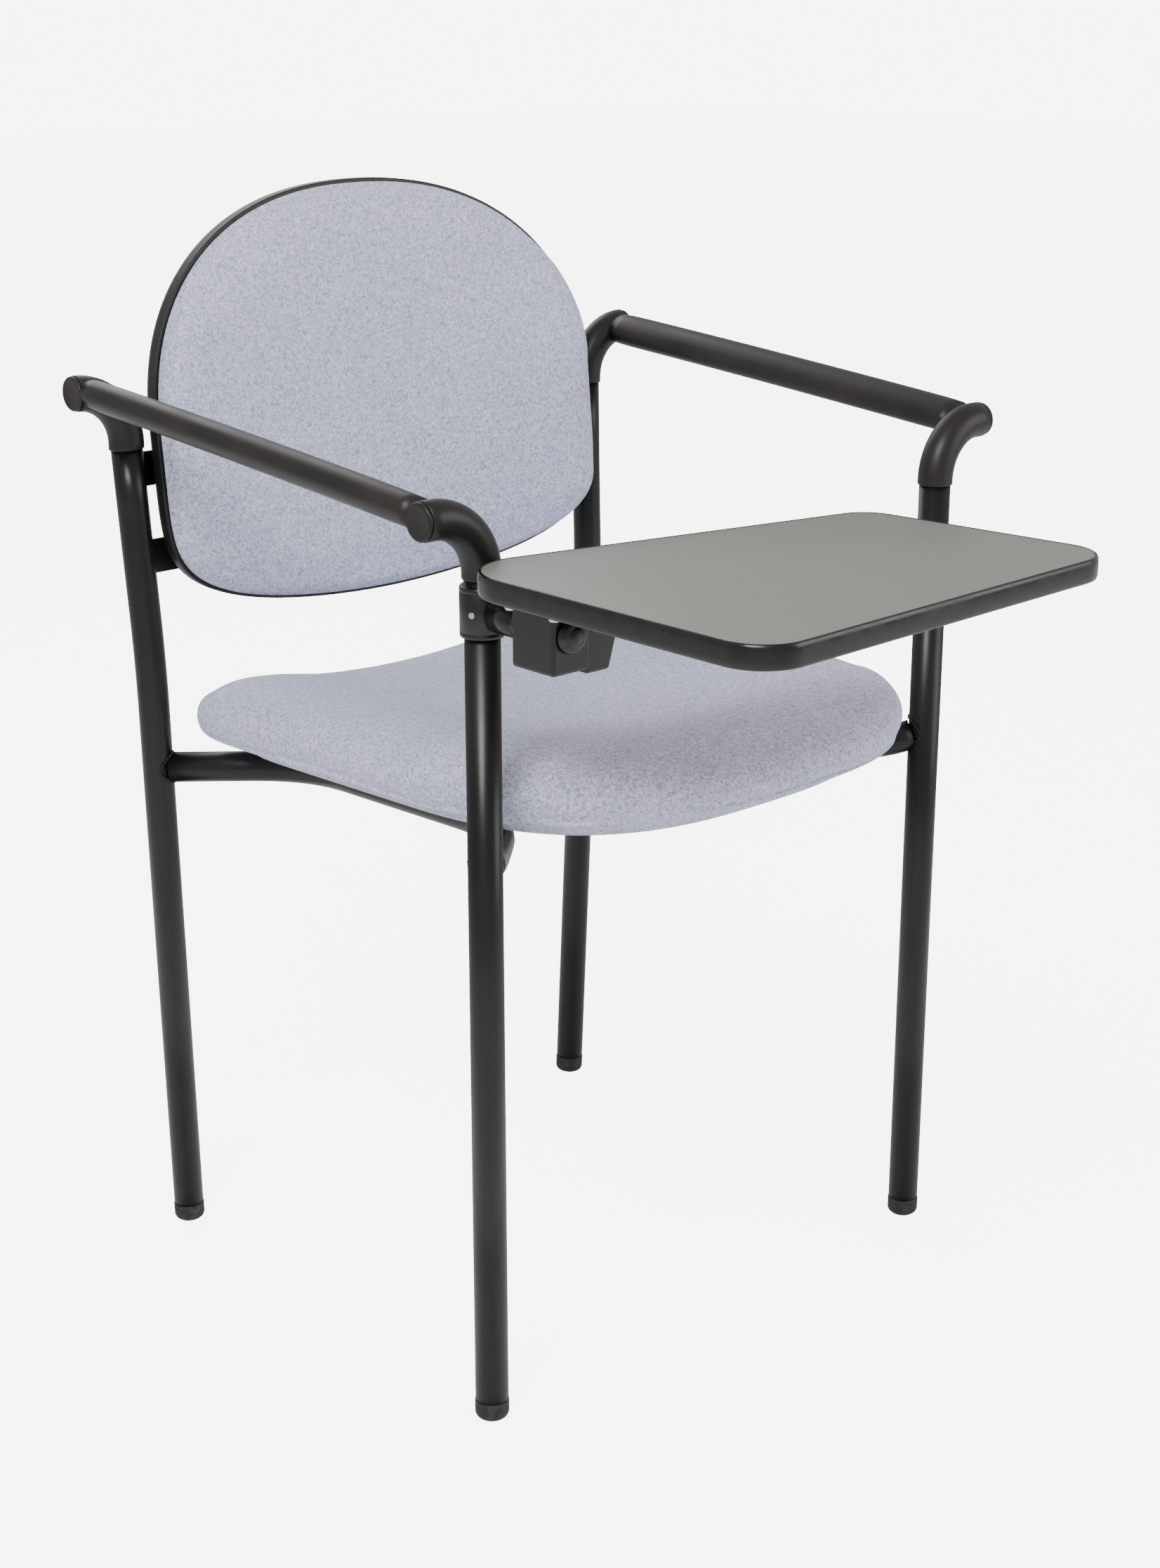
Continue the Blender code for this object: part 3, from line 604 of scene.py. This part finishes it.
profile = [(0.0, 0.0), (0.0, 0.0122), (0.0010, 0.0125), (0.0030, 0.0119), (0.0052, 0.0102), (0.0060, 0.0090),
           (0.0060, 0.0068), (0.0066, 0.0062), (0.0076, 0.0058), (0.0078, 0)]
bm = lathe(at(LEG_X, -0.0893, PIVOT_Z), (0, -1, 0), profile, 48)
piece("pin_cap", bm, "bracket_mould", "chair", ["pivot_nut", "pivot_pin"])

bm = block(at(-0.2560, -0.089, 0.6035), at(-0.2225, -0.047, 0.6480))
ob = piece("hinge_body", bm, "bracket_mould", "writing_tablet", ["hinge_housing"])
round_edges(ob, 0.0028, 4)
bm = block(at(-0.2222, -0.085, 0.5990), at(-0.186, -0.052, 0.6480))
for v in bm.verts:
    if v.co.x > -0.2 and v.co.z < 0.61:
        v.co.x -= 0.015
ob = piece("hinge_rib", bm, "bracket_mould", "writing_tablet", ["hinge_web"])
round_edges(ob, 0.0026, 4)
bm = lathe(at(-0.2555, -0.072, 0.6130), (-1, 0, 0), [(-0.001, 0), (-0.001, 0.0034), (0.0004, 0.0034),
           (0.0006, 0.0031), (0.0006, 0.0022), (0.0, 0.0019), (0.0, 0)], 28)
piece("hinge_plug", bm, "glide_mould", "writing_tablet")

# %% [markdown]
# ## Writing tablet
# The board is a trapezoid with round corners. Its outline is computed once as a list of
# points, and every layer uses it: chip core, laminate sheet and the black moulded edge that
# wraps the rim with a soft rounded profile.

# %% Tablet outline
CORNERS = ((-0.2850, -0.0085, 0.045), (0.0620, -0.0812, 0.030),
           (0.0830, -0.2915, 0.036), (-0.2868, -0.3062, 0.034))
TOP_Z, THICK = 0.670, 0.016


def outline(inset, steps=14):
    """The tablet's rounded outline, set in by a distance."""
    out = []
    n = len(CORNERS)
    for i in range(n):
        p = Vector(CORNERS[i][:2])
        a = (Vector(CORNERS[i - 1][:2]) - p).normalized()
        c = (Vector(CORNERS[(i + 1) % n][:2]) - p).normalized()
        r = CORNERS[i][2]
        half = a.angle(c) / 2
        centre = p + (a + c).normalized() * (r / math.sin(half))
        t1 = p + a * (r / math.tan(half)) - centre
        t2 = p + c * (r / math.tan(half)) - centre
        a1 = math.atan2(t1.y, t1.x)
        a2 = math.atan2(t2.y, t2.x)
        turn = (a2 - a1 + math.pi) % math.tau - math.pi
        for k in range(steps + 1):
            ang = a1 + turn * k / steps
            out.append(centre + Vector((math.cos(ang), math.sin(ang))) * (r - inset))
    return out


def rim_loops(bm, profile):
    """One loop of points round the outline for each (inset, z) pair."""
    return [[bm.verts.new(at(p.x, p.y, z)) for p in outline(inset)] for inset, z in profile]


def layered(profile):
    """A ring of walls that closes on itself, as the edge moulding does."""
    bm = bmesh.new()
    loops = rim_loops(bm, profile)
    wall(bm, loops + loops[:1])
    return bm


def slab(profile):
    """A sheet with walls round it and a face at each end."""
    bm = bmesh.new()
    loops = rim_loops(bm, profile)
    wall(bm, loops)
    bm.faces.new(loops[0])
    bm.faces.new(loops[-1])
    return bm


def flat_shaded(ob, degrees=35):
    """Keep sharp creases where faces meet at more than the angle."""
    me = ob.data
    me.set_sharp_from_angle(angle=math.radians(degrees))
    return ob


low = TOP_Z - THICK
rim = [(0.0028, low - 0.0002), (0.0016, low - 0.0002), (0.0006, low + 0.0004), (0.0001, low + 0.0022),
       (0.0, low + 0.0050), (0.0, TOP_Z - 0.0045), (0.0002, TOP_Z - 0.0020), (0.0008, TOP_Z - 0.0004),
       (0.0017, TOP_Z + 0.0002), (0.0026, TOP_Z + 0.0001), (0.0028, TOP_Z - 0.0008)]
piece("edge_moulding", layered(rim), "edge_mould", "writing_tablet", ["tablet_edge_band"])
ob = piece("tablet_core", slab([(0.0030, low), (0.0030, TOP_Z - 0.0015)]), "chip_core",
           "writing_tablet", ["tablet_board"])
flat_shaded(ob)
ob = piece("tablet_sheet", slab([(0.0029, TOP_Z - 0.0012), (0.0029, TOP_Z - 0.0002), (0.0034, TOP_Z)]),
           "grey_laminate", "writing_tablet", ["tablet_laminate"])
flat_shaded(ob)
bm = block(at(-0.2720, -0.110, low - 0.0053), at(-0.136, -0.0450, low - 0.0003))
ob = piece("tablet_bearer", bm, "powder_coat", "writing_tablet", ["tablet_plate"])
round_edges(ob, 0.0010, 2)
print("tablet done", len(made))

# %% [markdown]
# ## Upholstery
# A seat pad is foam on a board with cloth pulled over it. The same rule that shapes the plain
# solid gives a fine grid of points here: a square is pushed into a rounded outline, and a
# second rule gives the saddle, the raised sides and the rolled front. Cloth simulation then
# puffs the grid slightly, so that the surface swells between the edges as stuffed cloth
# does. The movement is capped, which keeps the pad inside its place.

# %% Soft shapes
def squircle(a, b, n_low, n_high):
    r = max(abs(a), abs(b))
    if r < 1e-9:
        return a, b
    n = n_high if b > 0 else n_low
    k = (abs(a / r) ** n + abs(b / r) ** n) ** (1.0 / n)
    return a / k, b / k


def grid_cube(cuts, place):
    bm = bmesh.new()
    bmesh.ops.create_cube(bm, size=2.0)
    bmesh.ops.subdivide_edges(bm, edges=bm.edges[:], cuts=cuts, use_grid_fill=True)
    for v in bm.verts:
        v.co = place(*v.co)
    return bm


def seat_xy(a, b, inset):
    p, q = squircle(a, b, 2.9, 14.0)
    half, mid = (SEAT_BACK - SEAT_FRONT) / 2, (SEAT_BACK + SEAT_FRONT) / 2
    return p * (SEAT_HALF - inset), mid + q * (half - inset)


def seat_top(x, y):
    side = 0.004 * math.exp(-((abs(x) - 0.165) / 0.05) ** 2)
    dish = 0.012 * math.exp(-(x / 0.12) ** 2) * min(1.0, max(0.0, (y + 0.02) / 0.15))
    nose = 0.010 * max(0.0, (0.03 - y) / 0.11) ** 2
    return 0.041 + 0.012 * (SEAT_BACK - y) + side - dish - nose


def seat_point(a, b, c):
    s = 0.0185 * (1 - math.sqrt(max(0.0, 1 - c * c))) + 0.0012
    x, y = seat_xy(a, b, s)
    return at(x, y, seat_under(y) + 0.0004 + (seat_top(x, y) - 0.0014) * (c + 1) / 2)


def back_surface(x, z):
    return 0.409 + 0.10 * (z - 0.640) - 0.020 * (x / 0.232) ** 2


def back_xz(a, b, inset):
    p, q = squircle(a, b, 7.0, 2.25)
    x = p * (0.232 - inset)
    if q > 0:
        return x, 0.700 + q * (0.181 - inset)
    return x, 0.700 + q * (0.163 - inset) + 0.036 * (x / 0.232) ** 2 * -q


def back_point(a, b, c):
    s = 0.010 * (1 - math.sqrt(max(0.0, 1 - c * c))) if c < 0 else 0.0
    x, z = back_xz(a, b, 0.0030 + s)
    depth = c * 0.0120 + 0.0004 if c < 0 else c * 0.0056 + 0.0004
    return at(x, back_surface(x, z) + depth, z)


# %% [markdown]
# The simulation works on a copy with the Cloth modifier, gravity off and a little pressure.
# After twenty frames each point's move is measured and cut to the cap. Points in the held group
# are pinned, so the side that sits on the board or shell stays where it is.

# %% Puff
def puff(name, bm, pressure, cap, keep):
    """Swell a closed grid with cloth pressure and return the moved grid."""
    bmesh.ops.recalc_face_normals(bm, faces=bm.faces)
    if bm.calc_volume(signed=True) < 0:
        bmesh.ops.reverse_faces(bm, faces=bm.faces)
    me = bpy.data.meshes.new(name)
    bm.to_mesh(me)
    bm.free()
    ob = bpy.data.objects.new(name, me)
    bpy.context.scene.collection.objects.link(ob)
    rest = [v.co.copy() for v in me.vertices]
    group = ob.vertex_groups.new(name="held")
    for v in me.vertices:
        hold = keep(v.co)
        if hold > 0:
            group.add([v.index], hold, "REPLACE")
    cloth = ob.modifiers.new("cloth", "CLOTH")
    s = cloth.settings
    s.quality = 5
    s.use_pressure = True
    s.uniform_pressure_force = pressure
    s.effector_weights.gravity = 0.0
    s.tension_stiffness = 25
    s.compression_stiffness = 25
    s.vertex_group_mass = "held"
    cloth.collision_settings.use_collision = False
    cloth.collision_settings.use_self_collision = False
    scene = bpy.context.scene
    cloth.point_cache.frame_start, cloth.point_cache.frame_end = 1, 20
    for f in range(1, 21):
        scene.frame_set(f)
    moved = bpy.data.meshes.new_from_object(ob.evaluated_get(bpy.context.evaluated_depsgraph_get()))
    scene.frame_set(1)
    far = 0.0
    for v, r in zip(moved.vertices, rest):
        d = v.co - r
        if d.length > cap:
            d *= cap / d.length
        far = max(far, d.length)
        v.co = r + d
    bpy.data.objects.remove(ob)
    print(name, "puffed by up to", round(far * 1000, 1), "mm")
    return moved


def soften(ob, levels=1):
    m = ob.modifiers.new("smooth", "SUBSURF")
    m.levels = levels
    m.render_levels = levels
    return ob


# %% Seat and back pads
def seat_hold(p):
    y = p.y - FRONT_Y
    return 1.0 if p.z < seat_under(y) + 0.006 else 0.0


def back_hold(p):
    return 1.0 if p.y - FRONT_Y > back_surface(p.x, p.z) + 0.004 else 0.0


PAD_CUTS, PRESSURE, MOVE_CAP, FILL = 35, 3.0, 0.0035, 0.8
for name, place, hold, stands_for in (("seat_pad", seat_point, seat_hold, "seat_cushion"),
                                      ("back_pad", back_point, back_hold, "back_cushion")):
    me = puff(name, grid_cube(PAD_CUTS, place), PRESSURE, MOVE_CAP, hold)
    for p in me.polygons:
        p.use_smooth = True
    ob = settle(name, me, "crepe_cloth", "chair", [stands_for])
    soften(ob)

# %% [markdown]
# ## Back shell and seat board
# Behind the back pad sits a moulded shell whose rim shows as a dark line round the cushion. It
# is made deeper than the plain solid, and the pad shallower behind, so that the rim reads.
# Under the seat pad is the plywood board. Both follow the same rules as the pads.

# %% Shell and board
def shell_point(a, b, c):
    s = 0.0035 * max(0.0, c) ** 2
    x, z = back_xz(a, b, s)
    return at(x, back_surface(x, z) + 0.0066 + 0.0156 * (c + 1) / 2, z)


bm = grid_cube(27, shell_point)
ob = piece("back_cover", bm, "shell_mould", "chair", ["back_shell"])
soften(ob)


def board_point(a, b, c):
    x, y = seat_xy(a, b, 0.038)
    return at(x, y, board_under(y) + 0.011 * (c + 1) / 2)


ob = piece("seat_ply", grid_cube(15, board_point), "plywood", "chair", ["seat_board"])
flat_shaded(ob, 50)
print("soft pieces done", len(made))

# %% [markdown]
# The cover does not stop at the pad's lower edge: it is pulled round the board and stapled
# underneath. A ring of cloth follows the pad's bottom, wraps the board's rim and ends a few
# centimetres in, and the staples sit on it.

# %% Cloth turned under
def seat_edge(inset, steps):
    """Points round the seat's outline, set in by a distance."""
    out = []
    for k in range(steps):
        a = math.tau * k / steps
        p, q = math.cos(a), math.sin(a)
        big = max(abs(p), abs(q))
        out.append(seat_xy(p / big, q / big, inset))
    return out


def wrap_loop(inset, drop, steps=160):
    return [at(x, y, seat_under(y) - drop) for x, y in seat_edge(inset, steps)]


bm = bmesh.new()
profile = [(0.0175, -0.0030), (0.0200, 0.0004), (0.0290, 0.0030), (0.0345, 0.0075), (0.0365, 0.0105),
           (0.0385, 0.0122), (0.0430, 0.0126), (0.0620, 0.0126)]
loops = [[bm.verts.new(p) for p in wrap_loop(i, d)] for i, d in profile]
wall(bm, loops)
ob = piece("cloth_turn", bm, "crepe_cloth", "chair")
thick = ob.modifiers.new("thick", "SOLIDIFY")
thick.thickness = 0.0008
thick.offset = 0.0

# %% [markdown]
# ## Fasteners, staples and welds with Geometry Nodes
# Small things that repeat are placed by one node tree: points carry a turn as an attribute,
# a stamp made in the tree is put on each, and the result is made real. Screws use a
# cone-headed stamp, the staples that hold the cloth under the board use a thin box, and weld
# beads use small flattened balls in a ring round each joint.

# %% A tree that stamps points
def stamp_tree(name, kind):
    tree = bpy.data.node_groups.new(name, "GeometryNodeTree")
    face = tree.interface
    face.new_socket("Points", in_out="INPUT", socket_type="NodeSocketGeometry")
    face.new_socket("Width", in_out="INPUT", socket_type="NodeSocketFloat").default_value = 0.005
    face.new_socket("Height", in_out="INPUT", socket_type="NodeSocketFloat").default_value = 0.002
    face.new_socket("Finish", in_out="INPUT", socket_type="NodeSocketMaterial")
    face.new_socket("Result", in_out="OUTPUT", socket_type="NodeSocketGeometry")
    n, link = tree.nodes, tree.links.new
    gin, gout = n.new("NodeGroupInput"), n.new("NodeGroupOutput")
    size = n.new("ShaderNodeCombineXYZ")
    link(gin.outputs["Width"], size.inputs["X"])
    link(gin.outputs["Width"], size.inputs["Y"])
    link(gin.outputs["Height"], size.inputs["Z"])
    if kind == "staple":
        size.inputs["Y"].default_value = 0.0011
        tree.links.remove(size.inputs["Y"].links[0])
        shape = n.new("GeometryNodeMeshCube")
        link(size.outputs["Vector"], shape.inputs["Size"])
        body = shape.outputs["Mesh"]
    elif kind == "bead":
        shape = n.new("GeometryNodeMeshIcoSphere")
        shape.inputs["Subdivisions"].default_value = 2
        shape.inputs["Radius"].default_value = 1.0
        place = n.new("GeometryNodeTransform")
        link(shape.outputs["Mesh"], place.inputs["Geometry"])
        link(size.outputs["Vector"], place.inputs["Scale"])
        body = place.outputs["Geometry"]
    else:
        shape = n.new("GeometryNodeMeshCone")
        shape.inputs["Vertices"].default_value = 28
        link(gin.outputs["Width"], shape.inputs["Radius Bottom"])
        top = n.new("ShaderNodeMath")
        top.operation = "MULTIPLY"
        top.inputs[1].default_value = 0.72
        link(gin.outputs["Width"], top.inputs[0])
        link(top.outputs[0], shape.inputs["Radius Top"])
        link(gin.outputs["Height"], shape.inputs["Depth"])
        body = shape.outputs["Mesh"]
    turn = n.new("GeometryNodeInputNamedAttribute")
    turn.data_type = "FLOAT_VECTOR"
    turn.inputs["Name"].default_value = "turn"
    put = n.new("GeometryNodeInstanceOnPoints")
    link(gin.outputs["Points"], put.inputs["Points"])
    link(body, put.inputs["Instance"])
    link(turn.outputs["Attribute"], put.inputs["Rotation"])
    real, paint = n.new("GeometryNodeRealizeInstances"), n.new("GeometryNodeSetMaterial")
    link(put.outputs["Instances"], real.inputs["Geometry"])
    link(real.outputs["Geometry"], paint.inputs["Geometry"])
    link(gin.outputs["Finish"], paint.inputs["Material"])
    link(paint.outputs["Geometry"], gout.inputs["Result"])
    return tree


def stamped(name, kind, places, width, height, finish, body, stands_for=()):
    """places: list of (point, direction). Returns one plain mesh piece."""
    me = bpy.data.meshes.new(name + "_points")
    me.from_pydata([p for p, d in places], [], [])
    turn = me.attributes.new("turn", "FLOAT_VECTOR", "POINT")
    for i, (p, d) in enumerate(places):
        turn.data[i].vector = Vector(d).to_track_quat("Z", "Y").to_euler()
    ob = bpy.data.objects.new(name + "_points", me)
    bpy.context.scene.collection.objects.link(ob)
    mod = ob.modifiers.new("stamp", "NODES")
    mod.node_group = stamp_tree(name, kind)
    ids = {s.name: s.identifier for s in mod.node_group.interface.items_tree if s.in_out == "INPUT"}
    mod[ids["Width"]] = width
    mod[ids["Height"]] = height
    mod[ids["Finish"]] = FINISH[finish]
    bpy.context.view_layer.update()
    real = bpy.data.meshes.new_from_object(ob.evaluated_get(bpy.context.evaluated_depsgraph_get()))
    bpy.data.objects.remove(ob)
    for p in real.polygons:
        p.use_smooth = True
    real.set_sharp_from_angle(angle=math.radians(40))
    print(name, len(places), "stamps,", len(real.polygons), "faces")
    return settle(name, real, finish, body, stands_for)


# %% Staples under the seat
STAPLES, STAPLE_IN, STAPLE_DROP = 64, 0.047, 0.0020
places = [(at(x, y, board_under(y) - STAPLE_DROP), Vector((0, 0, -1)))
          for x, y in seat_edge(STAPLE_IN, STAPLES)]
stamped("cloth_staples", "staple", places, 0.0105, 0.0007, "zinc_plate", "chair")

# %% Screw heads
for body, slot_name, name, nodes_named, width, height in (
        ("chair", "zinc", "seat_screw_heads", "seat_screw", 0.0050, 0.0024),
        ("writing_tablet", "zinc", "tablet_screw_heads", "tablet_screw", 0.0048, 0.0024)):
    spots, hidden = [], []
    for key in sorted(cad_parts):
        if key.startswith(nodes_named):
            lo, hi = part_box(key)
            spots.append((Vector(((lo.x + hi.x) / 2, (lo.y + hi.y) / 2, lo.z + height)), Vector((0, 0, -1))))
            hidden.append(key)
    stamped(name, "screw", spots, width, height, "zinc_plate", body, hidden)
spots, hidden = [], []
for key in sorted(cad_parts):
    if key.startswith("back_bolt"):
        lo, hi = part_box(key)
        spots.append((Vector(((lo.x + hi.x) / 2, hi.y - 0.0033, (lo.z + hi.z) / 2)), Vector((0, 1, 0))))
        hidden.append(key)
stamped("back_bolt_heads", "screw", spots, 0.0066, 0.0032, "powder_coat", "chair", hidden)

# %% Weld beads
beads = []
for side in (-1, 1):
    for centre, axis, toward in (
            (at(side * FRONT_X, 0, 0.4455), Vector((0, 0, 1)), at(side * 0.214, 0.025, 0.4418)),
            (back_leg(side, 0.4215), Vector((0, 0, 1)), at(side * 0.150, 0.325, 0.4230))):
        out = (toward - centre).normalized()
        u = out.orthogonal().normalized()
        w = out.cross(u)
        for k in range(30):
            a = math.tau * k / 30
            offset = u * math.cos(a) + w * math.sin(a)
            level = out - axis * out.dot(axis)
            level.normalize()
            across = axis.cross(level)
            sideways = offset.dot(across) * 0.0118
            reach = math.sqrt(max(0.0, TUBE_R ** 2 - sideways ** 2))
            spot = centre + level * reach + across * sideways + axis * offset.dot(axis) * 0.0122
            beads.append((spot, level))
stamped("weld_beads", "bead", beads, 0.0021, 0.0013, "powder_coat", "chair")

# %% [markdown]
# ## Finishes for the frame pieces that stay
# The flat steel ears and tabs keep their own shapes, and the clamp screw too. Each gets the
# same node finishes as the pieces round it.

# %% Carried-over pieces
KEEP = {"seat_tab": "powder_coat", "back_bracket": "powder_coat", "collar_screw": "zinc_plate"}
for name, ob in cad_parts.items():
    if ob.hide_render:
        continue
    finish = next((f for key, f in KEEP.items() if name.startswith(key)), "powder_coat")
    if not ob.material_slots:
        ob.data.materials.append(FINISH[finish])
    for s in ob.material_slots:
        s.material = FINISH[finish]
    print("kept", name, finish)

# %% [markdown]
# ## Sizes and finish
# The box round every shown piece, with the floor left out, is measured.

# %% Measure and finish
lo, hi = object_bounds()
